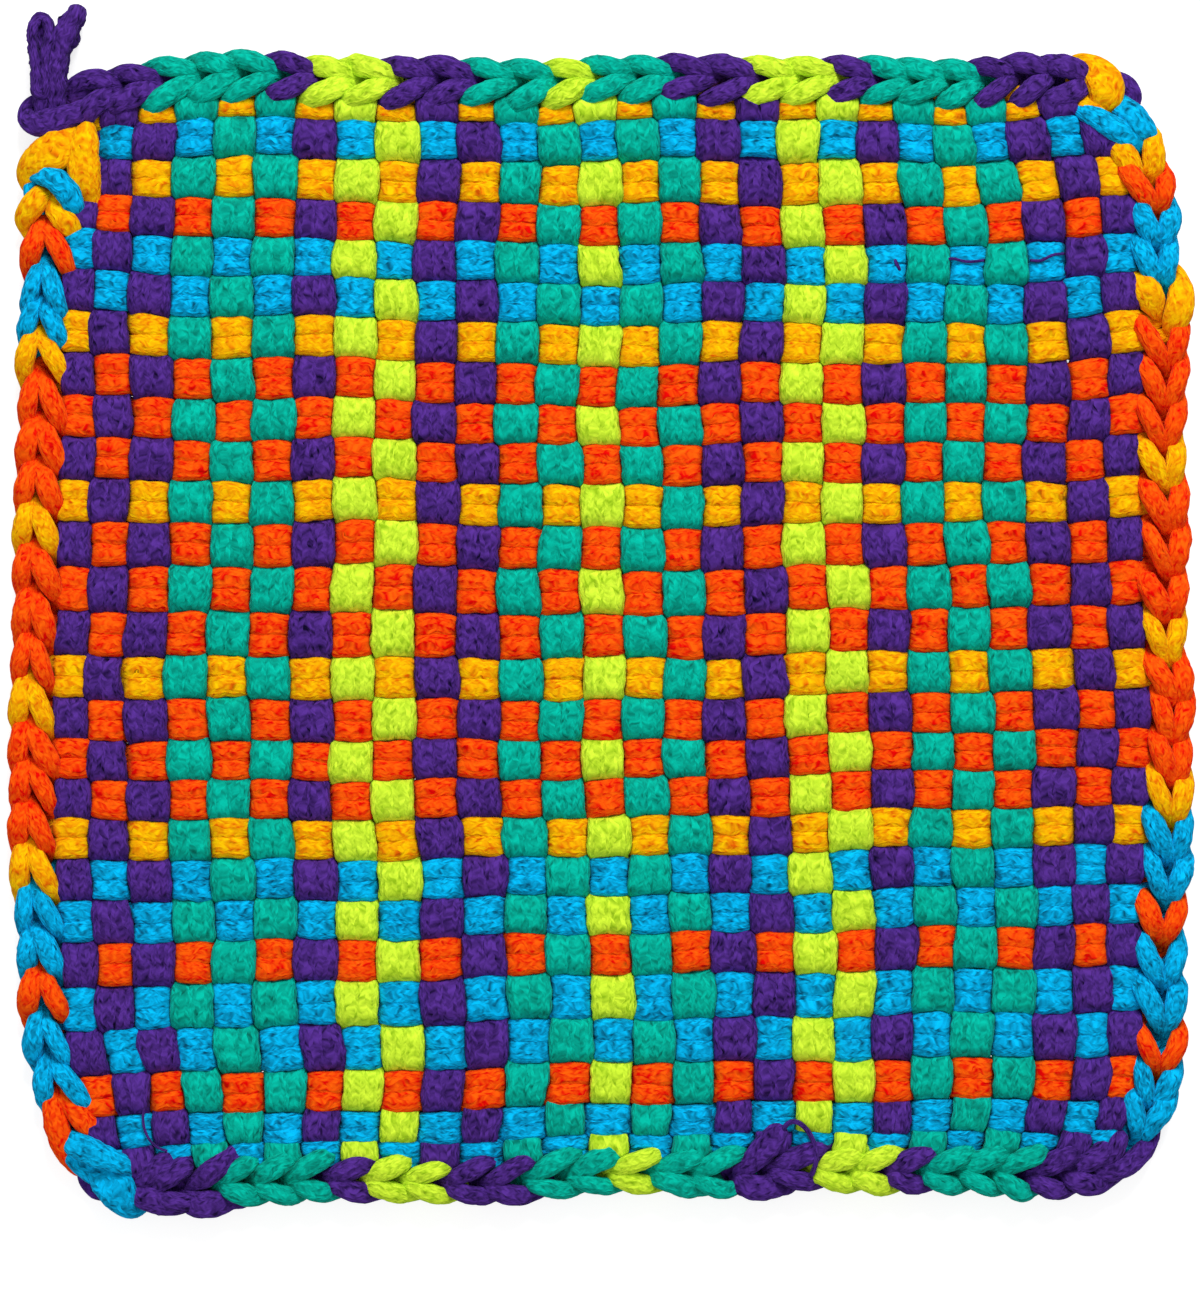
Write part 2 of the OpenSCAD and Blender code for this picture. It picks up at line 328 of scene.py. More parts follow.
def chain_near(x, y):
    """Distance along the chain of its point nearest to x, y."""
    return CHAIN_S[np.argmin(np.hypot(CHAIN_XY[:, 0] - x, CHAIN_XY[:, 1] - y))]


def unit(rows):
    """The rows, each as a direction of length 1."""
    return rows / np.linalg.norm(rows, axis=1)[:, None]


def chain_to_world(s, d):
    """Points at distance s along the chain and d outwards from it."""

    def at(value):
        value = np.mod(value, CHAIN_LENGTH)
        return np.column_stack(
            [np.interp(value, CHAIN_S, CHAIN_XY[:, k], period=CHAIN_LENGTH) for k in range(2)]
        )

    here = at(s)
    tangent = unit(at(s + TANGENT_REACH) - at(s - TANGENT_REACH))
    outward = np.stack([tangent[:, 1], -tangent[:, 0]], 1)
    return here + outward * d[:, None]


def edge_distance(x, y):
    """How far inside the chain's centre line a point is."""
    return np.minimum.reduce([x - CHAIN_LEFT, CHAIN_RIGHT - x, CHAIN_TOP - y, y - CHAIN_BOTTOM])


def catmull(points, steps):
    """Smooth line through the points, without the first and last one."""
    t = np.arange(steps)[:, None] / steps
    out = []
    for k in range(1, len(points) - 2):
        p0, p1, p2, p3 = points[k - 1 : k + 3]
        bend = 2 * p0 - 5 * p1 + 4 * p2 - p3
        twist = 3 * p1 - p0 - 3 * p2 + p3
        out.append(0.5 * (2 * p1 + (p2 - p0) * t + bend * t**2 + twist * t**3))
    return np.concatenate(out)


# Stitch of the chained edge, from its inner leg round the bight to its outer leg:
# distance along the chain, distance outwards, height, width, thickness
STITCH = np.array(
    [
        (-0.7, -0.4, 2.3, 2.8, 2.4),
        (0.6, -0.6, 3.6, 3.1, 2.6),
        (2.2, -1.3, 5.0, 3.6, 2.8),
        (4.2, -2.3, 6.0, 3.9, 3.0),
        (6.5, -3.4, 6.2, 3.9, 3.0),
        (8.6, -4.3, 5.3, 3.4, 2.8),
        (10.0, -4.5, 3.5, 2.9, 2.5),
        (11.2, -3.1, 1.8, 4.0, 2.2),
        (11.7, -0.7, 1.3, 5.6, 1.9),
        (10.9, 1.3, 1.7, 4.0, 2.2),
        (9.0, 2.3, 3.0, 3.1, 2.6),
        (7.5, 2.4, 4.5, 3.5, 2.8),
        (5.6, 2.0, 5.5, 3.8, 3.0),
        (3.7, 1.4, 5.6, 3.7, 2.9),
        (1.9, 0.8, 4.8, 3.3, 2.7),
        (0.4, 0.4, 3.5, 2.9, 2.5),
        (-0.8, 0.3, 2.3, 2.8, 2.4),
    ]
)
# Parts of the stitch: its rows, then its columns
INNER_LEG = slice(0, 9)
OUTER_LEG = slice(9, None)
INNER_BODY = slice(0, 8)
INNER_CROWN = slice(2, 6)
OUTER_CROWN = slice(11, 15)
ALONG, OUT, HIGH, WIDE = range(4)
# Random differences between stitches: factors, and shifts in millimetres
LENGTH_FACTOR = (0.94, 1.07)
INNER_OUT_FACTOR = (0.85, 1.12)
OUTER_OUT_FACTOR = (0.9, 1.08)
OUT_SHIFT = (-0.2, 0.2)
INNER_WIDTH_FACTOR = (0.88, 1.1)
OUTER_WIDTH_FACTOR = (0.9, 1.1)
CROWN_SHIFT = (-0.2, 0.3)
# Strand between the field and a stitch: width and thickness at the field's end, then distance
# outwards, height, width and thickness below the chain, and its distance along there as a share of
# the one at the field's end
FIELD_END_SIZE = (4.3, 2.6)
LEAD_IN = (-2.0, 1.8, 4.6, 2.2)
LEAD_OUT = (-1.4, 1.6, 4.4, 2.2)
LEAD_IN_SPREAD = 0.9
LEAD_OUT_SPREAD = 1.05
STITCH_STEPS = 7
# How far the middle of the chain lies outwards, as pairs of loop number and distance. Keys are
# warp or weft, and far end (top or right) or near end
LINE_SHIFT = {
    (True, True): ((1, 0.5), (27, 0.5)),
    (True, False): ((1, 0.0), (5, 0.0), (7, 0.6), (11, 0.6), (14, 0.4), (27, 0.1)),
    (False, False): ((1, 0.1), (6, 0.4), (9, 0.8), (12, 1.3), (19, 1.6), (22, 1.0), (25, 0.4)),
    (False, True): ((1, 0.1), (8, 0.3), (11, 1.2), (18, 1.2), (21, 0.2), (27, 0.0)),
}
# How far the outer legs reach outwards, here and in STITCH
OUTER_REACH = 2.8
OUTER_TIP = 2.4
# How far a stitch on the left side sits along the chain from its row, by loop number
LEFT_SLIDE = ((3, 2.3), (4, 2.2), (5, 1.9), (6, 0.9), (7, -0.6), (9, 0.0))

# Stitches that lie in their own way, most of them at corners, as points from the inner leg to the
# outer leg: x, y, height, width, thickness. Keys are warp or weft, number and far end
OWN_STITCHES = {
    (True, 1, True): (
        (-90.2, 94.4, 3.4, 3.2, 2.6),
        (-91.6, 93.6, 4.8, 4.0, 2.8),
        (-95.0, 92.1, 5.8, 4.4, 2.9),
        (-98.6, 90.9, 6.0, 4.8, 3.0),
        (-101.2, 90.6, 5.4, 4.7, 2.9),
        (-103.0, 92.2, 3.9, 3.5, 2.7),
        (-102.4, 94.3, 2.2, 3.1, 2.5),
        (-99.5, 95.3, 1.6, 3.4, 2.4),
        (-95.9, 95.9, 2.2, 4.2, 2.5),
        (-92.4, 96.6, 3.4, 4.2, 2.7),
        (-90.2, 96.6, 2.4, 3.4, 2.5),
    ),
    (False, 1, False): (
        (-92.6, 90.6, 4.2, 3.4, 2.6),
        (-92.4, 88.4, 6.2, 4.8, 2.9),
        (-92.6, 84.3, 6.5, 5.8, 3.0),
        (-92.4, 80.4, 6.1, 6.0, 3.0),
        (-92.0, 77.2, 4.4, 4.6, 2.8),
        (-92.8, 75.2, 2.4, 3.0, 2.5),
        (-96.0, 75.4, 1.6, 2.9, 2.4),
        (-99.6, 77.2, 1.7, 2.9, 2.4),
        (-102.3, 79.6, 2.9, 3.4, 2.6),
        (-102.6, 82.2, 4.6, 4.6, 3.0),
        (-100.4, 84.2, 5.8, 6.4, 3.2),
        (-96.8, 86.0, 6.3, 7.4, 3.2),
        (-93.9, 88.2, 5.3, 5.8, 2.9),
        (-92.2, 90.4, 3.0, 3.2, 2.5),
    ),
    (False, 2, False): (
        (-101.4, 82.0, 3.6, 3.2, 2.6),
        (-99.6, 81.5, 5.8, 4.0, 2.8),
        (-97.2, 80.3, 7.0, 4.4, 2.9),
        (-95.2, 78.2, 7.0, 4.5, 2.9),
        (-94.3, 75.7, 5.8, 3.9, 2.8),
        (-94.6, 73.4, 2.8, 2.9, 2.5),
        (-97.0, 72.3, 1.6, 2.8, 2.4),
        (-99.8, 73.1, 1.7, 2.8, 2.4),
        (-101.2, 75.2, 2.6, 3.0, 2.5),
        (-101.9, 77.5, 3.6, 3.2, 2.6),
        (-102.0, 79.9, 3.7, 3.2, 2.6),
        (-101.6, 81.7, 2.8, 3.0, 2.5),
    ),
    (False, 7, True): (
        (99.8, 55.4, 2.4, 2.8, 2.4),
        (99.4, 56.9, 4.0, 3.6, 2.6),
        (98.5, 58.8, 5.4, 4.8, 2.9),
        (97.4, 60.7, 6.0, 5.0, 3.0),
        (96.2, 62.4, 5.4, 4.2, 2.8),
        (95.5, 63.8, 3.4, 3.2, 2.5),
        (97.0, 64.8, 2.2, 4.4, 2.2),
        (99.5, 64.4, 2.2, 5.6, 2.0),
        (102.0, 64.4, 2.0, 4.0, 2.2),
        (103.3, 63.0, 3.4, 3.4, 2.6),
        (103.5, 60.9, 5.0, 4.6, 2.9),
        (103.2, 58.4, 5.8, 5.4, 3.1),
        (102.7, 56.0, 5.4, 5.2, 3.0),
        (101.9, 54.0, 4.2, 4.0, 2.7),
        (100.8, 52.8, 2.8, 2.9, 2.5),
    ),
    (False, 3, False): (
        (-99.2, 78.8, 2.6, 2.8, 2.4),
        (-98.7, 77.4, 4.0, 3.4, 2.6),
        (-97.6, 75.6, 5.3, 4.2, 2.8),
        (-96.1, 73.6, 5.8, 4.5, 2.9),
        (-94.9, 71.8, 5.2, 4.0, 2.8),
        (-94.4, 70.2, 3.2, 2.9, 2.5),
        (-95.6, 68.8, 1.8, 3.4, 2.3),
        (-98.0, 68.6, 1.4, 4.2, 2.0),
        (-100.6, 69.6, 1.7, 3.4, 2.3),
        (-102.8, 71.8, 2.6, 3.0, 2.6),
        (-103.2, 73.6, 4.2, 3.8, 2.8),
        (-102.2, 75.6, 5.4, 4.4, 2.9),
        (-100.7, 77.4, 5.4, 4.2, 2.8),
        (-99.6, 78.8, 4.2, 3.4, 2.6),
        (-99.4, 79.6, 2.6, 2.8, 2.4),
    ),
    (False, 26, False): (
        (-95.8, -90.4, 3.4, 3.4, 2.5),
        (-94.2, -91.5, 5.8, 4.6, 2.6),
        (-90.8, -93.0, 7.0, 4.8, 2.7),
        (-87.0, -94.5, 6.9, 4.0, 2.6),
        (-84.0, -96.0, 5.4, 2.9, 2.4),
        (-82.8, -97.4, 3.2, 2.6, 2.3),
        (-85.2, -98.4, 1.6, 2.9, 2.4),
        (-88.5, -98.2, 2.0, 3.4, 2.5),
        (-90.6, -97.0, 3.4, 4.8, 2.8),
        (-92.6, -95.2, 4.3, 5.0, 2.9),
        (-94.6, -93.5, 4.3, 4.4, 2.8),
        (-95.9, -92.0, 3.2, 3.4, 2.6),
        (-96.2, -90.8, 2.2, 3.0, 2.5),
    ),
    (False, 27, False): (
        (-91.6, -95.0, 2.9, 3.0, 2.5),
        (-88.8, -95.6, 3.8, 3.0, 2.5),
        (-85.4, -97.0, 3.2, 3.0, 2.5),
        (-82.9, -98.5, 2.1, 2.8, 2.4),
        (-81.7, -100.9, 1.6, 2.8, 2.4),
        (-82.5, -103.0, 2.2, 3.0, 2.5),
        (-84.3, -103.5, 3.4, 4.0, 2.8),
        (-85.5, -101.7, 4.6, 6.2, 3.0),
        (-86.9, -99.6, 5.2, 7.4, 3.1),
        (-88.8, -97.6, 4.8, 6.4, 3.1),
        (-90.9, -95.9, 3.8, 4.6, 2.9),
        (-92.6, -94.0, 3.0, 3.4, 2.6),
    ),
    (True, 1, False): (
        (-84.0, -98.6, 3.1, 3.2, 2.6),
        (-82.4, -98.4, 4.6, 3.6, 2.8),
        (-80.4, -96.9, 5.8, 4.0, 2.9),
        (-78.3, -95.1, 5.9, 4.0, 2.9),
        (-76.5, -93.9, 4.6, 3.4, 2.7),
        (-75.0, -94.4, 2.6, 2.8, 2.5),
        (-73.6, -97.0, 1.6, 2.8, 2.4),
        (-73.2, -100.0, 1.8, 2.9, 2.5),
        (-74.4, -102.2, 3.2, 3.6, 2.7),
        (-76.8, -102.4, 4.7, 4.6, 2.9),
        (-79.6, -101.8, 5.4, 5.0, 3.0),
        (-82.2, -101.0, 4.8, 4.4, 2.9),
        (-84.4, -100.0, 3.2, 3.4, 2.6),
        (-88.0, -101.0, 1.8, 2.6, 2.3),
        (-91.0, -100.6, 1.7, 2.6, 2.3),
        (-92.9, -97.9, 1.9, 2.6, 2.3),
        (-92.0, -95.4, 1.9, 2.6, 2.3),
    ),
    (False, 25, False): (
        (-97.6, -81.4, 2.6, 2.8, 2.4),
        (-96.6, -82.6, 4.0, 3.3, 2.6),
        (-95.0, -84.6, 5.2, 4.0, 2.8),
        (-93.0, -87.0, 5.6, 4.2, 2.9),
        (-91.0, -89.2, 5.4, 4.0, 2.8),
        (-89.4, -90.9, 4.4, 3.2, 2.6),
        (-89.4, -92.8, 2.4, 2.8, 2.4),
        (-91.0, -94.8, 1.6, 3.6, 2.2),
        (-93.0, -96.2, 1.5, 4.0, 2.0),
        (-94.2, -96.0, 2.6, 3.2, 2.5),
        (-95.2, -94.4, 3.8, 3.7, 2.7),
        (-96.6, -91.4, 4.8, 4.4, 2.9),
        (-97.5, -88.2, 5.2, 4.6, 3.0),
        (-98.1, -85.0, 4.8, 4.2, 2.9),
        (-98.4, -82.8, 3.8, 3.4, 2.6),
        (-98.0, -81.6, 2.6, 2.8, 2.4),
    ),
    (True, 17, False): (
        (23.6, -97.6, 2.6, 2.8, 2.4),
        (24.8, -96.6, 4.0, 3.3, 2.6),
        (26.6, -94.9, 5.4, 4.2, 2.9),
        (28.6, -92.8, 6.3, 4.8, 3.0),
        (30.6, -90.6, 6.3, 4.6, 3.0),
        (32.2, -88.8, 5.0, 3.6, 2.7),
        (33.6, -89.0, 3.0, 2.9, 2.4),
        (34.9, -92.0, 1.8, 4.2, 2.2),
        (35.0, -96.0, 1.3, 5.4, 1.9),
        (33.4, -98.4, 1.7, 4.8, 2.2),
        (31.6, -99.2, 3.2, 4.4, 2.6),
        (29.2, -99.5, 4.8, 4.9, 2.9),
        (26.6, -99.3, 5.2, 4.8, 3.0),
        (24.6, -98.7, 4.2, 4.0, 2.8),
        (23.4, -97.9, 2.6, 3.0, 2.5),
    ),
    (True, 3, False): (
        (-74.4, -99.4, 2.6, 2.8, 2.4),
        (-72.9, -98.8, 4.0, 3.4, 2.6),
        (-70.8, -97.4, 5.6, 4.2, 2.9),
        (-68.4, -95.5, 6.3, 4.2, 3.0),
        (-66.2, -93.7, 5.5, 3.6, 2.8),
        (-64.6, -92.9, 3.6, 2.9, 2.5),
        (-63.2, -95.2, 1.8, 4.0, 2.2),
        (-62.8, -98.6, 1.3, 5.4, 1.9),
        (-64.0, -101.4, 1.7, 4.0, 2.2),
        (-66.3, -102.0, 3.2, 3.4, 2.6),
        (-69.0, -102.4, 4.8, 4.9, 2.9),
        (-72.0, -102.5, 5.2, 5.1, 3.0),
        (-74.4, -101.8, 4.0, 3.8, 2.8),
        (-75.9, -100.6, 2.6, 3.0, 2.5),
    ),
    (False, 3, True): (
        (96.3, 79.4, 2.6, 2.8, 2.4),
        (95.8, 80.8, 4.0, 3.3, 2.6),
        (94.7, 82.8, 5.4, 4.2, 2.8),
        (93.3, 85.0, 5.9, 4.4, 2.9),
        (92.1, 87.2, 5.6, 4.0, 2.8),
        (91.4, 89.2, 3.4, 3.0, 2.5),
        (92.6, 90.8, 1.7, 3.8, 2.2),
        (94.6, 91.4, 1.3, 5.0, 1.9),
        (96.5, 91.0, 1.7, 3.8, 2.2),
        (97.6, 89.8, 3.2, 3.3, 2.6),
        (98.3, 88.0, 4.8, 3.9, 2.8),
        (98.6, 85.8, 5.5, 4.2, 3.0),
        (98.6, 83.6, 5.2, 4.2, 2.9),
        (98.0, 81.6, 4.2, 3.8, 2.7),
        (97.0, 80.0, 2.8, 3.0, 2.4),
    ),
    (False, 1, True): (
        (89.8, 91.8, 3.2, 3.0, 2.5),
        (88.3, 92.7, 4.5, 3.2, 2.6),
        (86.4, 94.4, 4.3, 3.2, 2.6),
        (84.8, 96.8, 2.6, 2.8, 2.4),
        (84.1, 99.6, 1.6, 2.8, 2.4),
        (84.9, 102.0, 2.1, 2.9, 2.4),
        (86.7, 101.7, 3.4, 3.8, 2.7),
        (88.5, 100.0, 4.8, 6.0, 3.0),
        (89.7, 98.2, 5.6, 6.8, 3.1),
        (90.2, 96.4, 5.7, 6.6, 3.1),
        (90.0, 94.5, 5.2, 5.6, 3.0),
        (89.9, 92.6, 3.9, 4.0, 2.7),
        (90.6, 91.0, 2.4, 3.0, 2.5),
    ),
    (False, 2, True): (
        (96.6, 86.6, 3.6, 3.0, 2.5),
        (94.4, 88.0, 5.9, 4.2, 2.7),
        (91.2, 89.8, 6.8, 4.4, 2.8),
        (88.0, 91.7, 6.4, 3.8, 2.7),
        (85.4, 93.3, 4.8, 2.9, 2.5),
        (84.6, 95.6, 2.4, 2.6, 2.4),
        (87.0, 97.4, 1.5, 2.7, 2.4),
        (90.2, 96.8, 1.7, 2.8, 2.4),
        (91.6, 94.8, 3.6, 4.0, 2.7),
        (93.6, 93.0, 5.6, 4.8, 2.9),
        (95.4, 91.2, 6.4, 5.0, 3.0),
        (96.8, 89.4, 5.8, 4.6, 2.9),
        (97.4, 87.6, 4.0, 3.4, 2.6),
    ),
    (True, 27, True): (
        (86.9, 97.9, 3.2, 3.0, 2.5),
        (85.6, 97.2, 4.8, 3.8, 2.8),
        (83.4, 95.9, 5.8, 4.2, 2.9),
        (80.9, 94.9, 5.8, 4.2, 2.9),
        (78.6, 94.3, 4.6, 3.6, 2.7),
        (76.8, 95.2, 2.6, 2.8, 2.5),
        (75.8, 97.6, 1.6, 2.8, 2.4),
        (76.4, 100.0, 1.9, 2.9, 2.5),
        (78.2, 101.2, 3.4, 3.4, 2.7),
        (80.8, 101.3, 4.9, 4.0, 2.9),
        (83.4, 100.8, 5.4, 4.2, 2.9),
        (85.8, 99.8, 4.6, 3.8, 2.8),
        (87.4, 98.8, 2.8, 3.0, 2.5),
        (90.9, 99.2, 1.8, 3.2, 2.4),
        (93.9, 98.1, 1.8, 3.6, 2.5),
        (95.2, 95.8, 2.0, 3.6, 2.5),
        (93.8, 93.8, 1.9, 3.2, 2.4),
    ),
}


def stitch(key, s0, ends, rng):
    """Points of the stitch at distance s0 along the chain. The ends are where its two strands leave
    the field: distance along the chain from s0, distance outwards and height."""
    is_warp, number, far = key
    shape = STITCH.copy()
    shape[:, ALONG] *= rng.uniform(*LENGTH_FACTOR)
    shape[INNER_LEG, OUT] *= rng.uniform(*INNER_OUT_FACTOR)
    shape[OUTER_LEG, OUT] *= rng.uniform(*OUTER_OUT_FACTOR)
    shape[:, OUT] += rng.uniform(*OUT_SHIFT)
    shape[INNER_BODY, WIDE] *= rng.uniform(*INNER_WIDTH_FACTOR)
    shape[OUTER_LEG, WIDE] *= rng.uniform(*OUTER_WIDTH_FACTOR)
    shift = np.interp(number, *np.transpose(LINE_SHIFT[is_warp, far]))
    if not is_warp and not far:
        s0 = s0 + np.interp(number, *np.transpose(LEFT_SLIDE))
    outer = shape[:, OUT] > 0
    shape[outer, OUT] *= (OUTER_REACH - shift) / OUTER_TIP
    shape[:, OUT] += shift
    shape[INNER_CROWN, HIGH] += rng.uniform(*CROWN_SHIFT)
    shape[OUTER_CROWN, HIGH] += rng.uniform(*CROWN_SHIFT)
    first, last = ends
    lead_in = np.array([(*first, *FIELD_END_SIZE), (first[0] * LEAD_IN_SPREAD, *LEAD_IN)])
    lead_out = np.array([(last[0] * LEAD_OUT_SPREAD, *LEAD_OUT), (*last, *FIELD_END_SIZE)])
    control = np.concatenate([lead_in, shape, lead_out])
    world = np.column_stack(place(*chain_to_world(s0 + control[:, ALONG], control[:, OUT]).T))
    control = np.column_stack([world, control[:, HIGH:]])
    middle = OWN_STITCHES.get(key, control[1:-1])
    control = np.concatenate([control[:1], control[:1], middle, control[-1:], control[-1:]])
    return catmull(control, STITCH_STEPS)


def field_strand(number, side, is_warp, rng):
    """Points of one strand of a loop across the woven field, left to right or bottom to top."""
    across = ROWS[::-1] if is_warp else COLUMNS
    own = COLUMNS if is_warp else ROWS
    centre = own[number - 1]
    spacing = abs(np.gradient(own)[number - 1])
    halfway = (across[1:] + across[:-1]) / 2
    edges = np.concatenate([[across[0] - FIELD_MARGIN], halfway, [across[-1] + FIELD_MARGIN]])
    # from -1 at the edge of a crossing, through 0 at its middle, to 1 at its other edge
    cell = np.linspace(-1, 1, SAMPLES_PER_CROSSING, endpoint=False)
    positions, signs = [], []
    for k in range(LOOPS):
        positions.append(np.interp(cell, [-1, 0, 1], [edges[k], across[k], edges[k + 1]]))
        crossing = LOOPS - k if is_warp else k + 1
        odd = (number + crossing) % 2
        over = odd if is_warp else 1 - odd
        signs.append(np.full(len(cell), 1.0 if over else -1.0))
    a = np.concatenate(positions)
    phase = np.tile(cell, LOOPS)
    sign = np.concatenate(signs)
    keep = (a > across[0] - FIELD_END) & (a < across[-1] + FIELD_END)
    a, phase, sign = a[keep], phase[keep], sign[keep]
    swing = ramp(np.abs(phase), 1, 1 - CLIMB)
    z = MIDDLE_Z + WAVE * sign * swing + (WARP_LIFT if is_warp else -WEFT_DROP)
    z += CROWN * np.clip(1 - phase**2, 0, 1) * np.where(sign > 0, 1, 0)
    pinch = 1 - swing
    if is_warp:
        share, middle, reach = BOTTOM_NARROWING
        narrow = 1 - share * hill(a, middle, reach)
        offset = WARP_OFFSET * spacing * narrow
        width = WARP_WIDTH * spacing * narrow
    else:
        offset = WEFT_OFFSET * spacing
        width = WEFT_WIDTH * spacing
    offset = offset * (1 + wander(a, rng, *OFFSET_WANDER))
    under = np.where(sign < 0, swing, 0)
    width = width * (1 + wander(a, rng, *WIDTH_WANDER))
    width = width * (1 - PINCH_WIDTH * pinch + UNDER_WIDTH * under)
    height = STRAND_HEIGHT * (1 + wander(a, rng, *HEIGHT_WANDER)) * (1 - PINCH_HEIGHT * pinch)
    lateral = centre + side * offset + wander(a, rng, *SIDE_WANDER)
    x, y = (lateral, a) if is_warp else (a, lateral)
    duck = ramp(edge_distance(x, y), DUCK_FROM, DUCK_TO)
    duck = np.maximum(duck, hill(x, *HANGER_X) * hill(y, *HANGER_Y))
    z = z - duck * np.clip(z - DUCK_Z, 0, None)
    return np.column_stack([x, y, z, width, height])


def placed(strand):
    """The strand, laid as in the photograph."""
    strand = strand.copy()
    strand[:, 0], strand[:, 1] = place(strand[:, 0], strand[:, 1])
    return strand


def ring_of(number, is_warp, rng):
    """Closed path of a whole loop, as rows of x, y, height, width, thickness."""
    low = field_strand(number, -1, is_warp, rng)
    high = field_strand(number, 1, is_warp, rng)
    centre = (COLUMNS if is_warp else ROWS)[number - 1]
    stitches = []
    for far in (True, False):
        if is_warp:
            s0 = chain_near(centre, CHAIN_TOP if far else CHAIN_BOTTOM)
        else:
            s0 = chain_near(CHAIN_RIGHT if far else CHAIN_LEFT, centre)
        # the chain runs left along the top and right along the bottom, up the right side and down
        # the left one, and a stitch starts at the strand that lies further along it
        forward = -1 if far == is_warp else 1
        index = -1 if far else 0

        def end_of(strand):
            x, y, z = strand[index, :3]
            lateral = (x if is_warp else y) - centre
            return (lateral * forward, -edge_distance(x, y), z)

        leaving, arriving = (high, low) if forward > 0 else (low, high)
        path = stitch((is_warp, number, far), s0, (end_of(leaving), end_of(arriving)), rng)
        # the ring runs along the low strand, the far stitch, back along the high one, and the near
        # stitch
        goes_with_ring = (forward > 0) != far
        stitches.append(path if goes_with_ring else path[::-1])
    far_stitch, near_stitch = stitches
    low, high = placed(low), placed(high)
    return np.concatenate([low[:-1], far_stitch, high[::-1][1:], near_stitch])


def resample(path, step):
    """Distances along a closed path and its rows there, at an even step close to the one given."""
    closed = np.concatenate([path, path[:1]])
    lengths = np.linalg.norm(np.diff(closed[:, :3], axis=0), axis=1)
    keep = np.concatenate([[True], lengths[:-1] > SMALLEST_STEP])
    path = path[keep]
    closed = np.concatenate([path, path[:1]])
    lengths = np.linalg.norm(np.diff(closed[:, :3], axis=0), axis=1)
    along = np.concatenate([[0], np.cumsum(lengths)])
    count = int(along[-1] / step)
    s = np.arange(count) * along[-1] / count
    return s, np.column_stack([np.interp(s, along, closed[:, k]) for k in range(path.shape[1])])


def ring_path(points):
    """Smooth closed path through the points given."""
    points = np.array(points)
    return catmull(np.concatenate([points[-1:], points, points[:2]]), RING_STEPS)


def smooth_ring(values, times):
    """Closed row of values, each moved towards its two neighbours."""
    for _ in range(times):
        values = (np.roll(values, 1, 0) + 2 * values + np.roll(values, -1, 0)) / 4
    return values


def tube(path, rng, step, lumps, squareness, upright=False):
    """Step and rings of points of a tube along a closed path. Its flat side faces up, or where it
    is upright its width stays along x however the path climbs."""
    s, path = resample(path, step)
    path = smooth_ring(path, PATH_SMOOTHING)
    centre, width, height = path[:, :3], path[:, 3], path[:, 4]
    tangent = unit(np.roll(centre, -1, 0) - np.roll(centre, 1, 0))
    if upright:
        side = np.zeros_like(centre)
        side[:, 0] = 1
        side = unit(side - tangent * (side * tangent).sum(1)[:, None])
        up = np.cross(side, tangent)
    else:
        side = np.stack([-tangent[:, 1], tangent[:, 0], np.zeros(len(s))], 1)
        side = unit(smooth_ring(side, SIDE_SMOOTHING))
        up = np.cross(tangent, side)
        up[:, 2] = np.abs(up[:, 2])
        up = unit(unit(up) + np.array([0, 0, FACE_UP]))
    angle = 2 * math.pi * np.arange(AROUND) / AROUND
    power = 2 / squareness
    c = np.sign(np.cos(angle)) * np.abs(np.cos(angle)) ** power
    d = np.sign(np.sin(angle)) * np.abs(np.sin(angle)) ** power
    bumps = rng.normal(size=(len(s), AROUND))
    bumps = (bumps + np.roll(bumps, 1, 0) + np.roll(bumps, -1, 0)) / 3
    bumps = (2 * bumps + np.roll(bumps, 1, 1) + np.roll(bumps, -1, 1)) / 4
    swell = 1 + lumps * bumps
    points = (
        centre[:, None, :]
        + side[:, None, :] * (width[:, None] / 2 * c[None, :] * swell)[:, :, None]
        + up[:, None, :] * (height[:, None] / 2 * d[None, :] * swell)[:, :, None]
    )
    points[:, :, 2] = np.maximum(points[:, :, 2], LOWEST_Z)
    return s[1] - s[0], points


def knit_mesh(name, tubes, rng):
    """Mesh of closed tubes, with the place of each corner along and around its strand."""
    corners, faces, marks = [], [], []
    start = 0
    for step, points in tubes:
        count = len(points)
        i, j = np.meshgrid(np.arange(count), np.arange(AROUND), indexing="ij")
        i2, j2 = (i + 1) % count, (j + 1) % AROUND
        quads = np.stack([i * AROUND + j, i2 * AROUND + j, i2 * AROUND + j2, i * AROUND + j2], -1)
        faces.append(quads.reshape(-1, 4) + start)
        along = np.stack([i, i + 1, i + 1, i], -1).reshape(-1) * step
        around = np.stack([j, j, j + 1, j + 1], -1).reshape(-1) / AROUND
        pattern = np.full(len(along), rng.uniform(0, PATTERN_STARTS))
        marks.append(np.column_stack([along, around, pattern]))
        corners.append(points.reshape(-1, 3))
        start += count * AROUND
    corners, faces, marks = np.concatenate(corners), np.concatenate(faces), np.concatenate(marks)
    mesh = bpy.data.meshes.new(name)
    mesh.vertices.add(len(corners))
    mesh.vertices.foreach_set("co", (corners * MM).astype(np.float32).ravel())
    mesh.loops.add(faces.size)
    mesh.loops.foreach_set("vertex_index", faces.astype(np.int32).ravel())
    mesh.polygons.add(len(faces))
    mesh.polygons.foreach_set("loop_start", np.arange(0, faces.size, 4, dtype=np.int32))
    mesh.polygons.foreach_set("use_smooth", np.ones(len(faces), dtype=bool))
    attribute = mesh.attributes.new("strand", "FLOAT_VECTOR", "CORNER")
    attribute.data.foreach_set("vector", marks.astype(np.float32).ravel())
    mesh.update(calc_edges=True)
    mesh.validate()
    return mesh


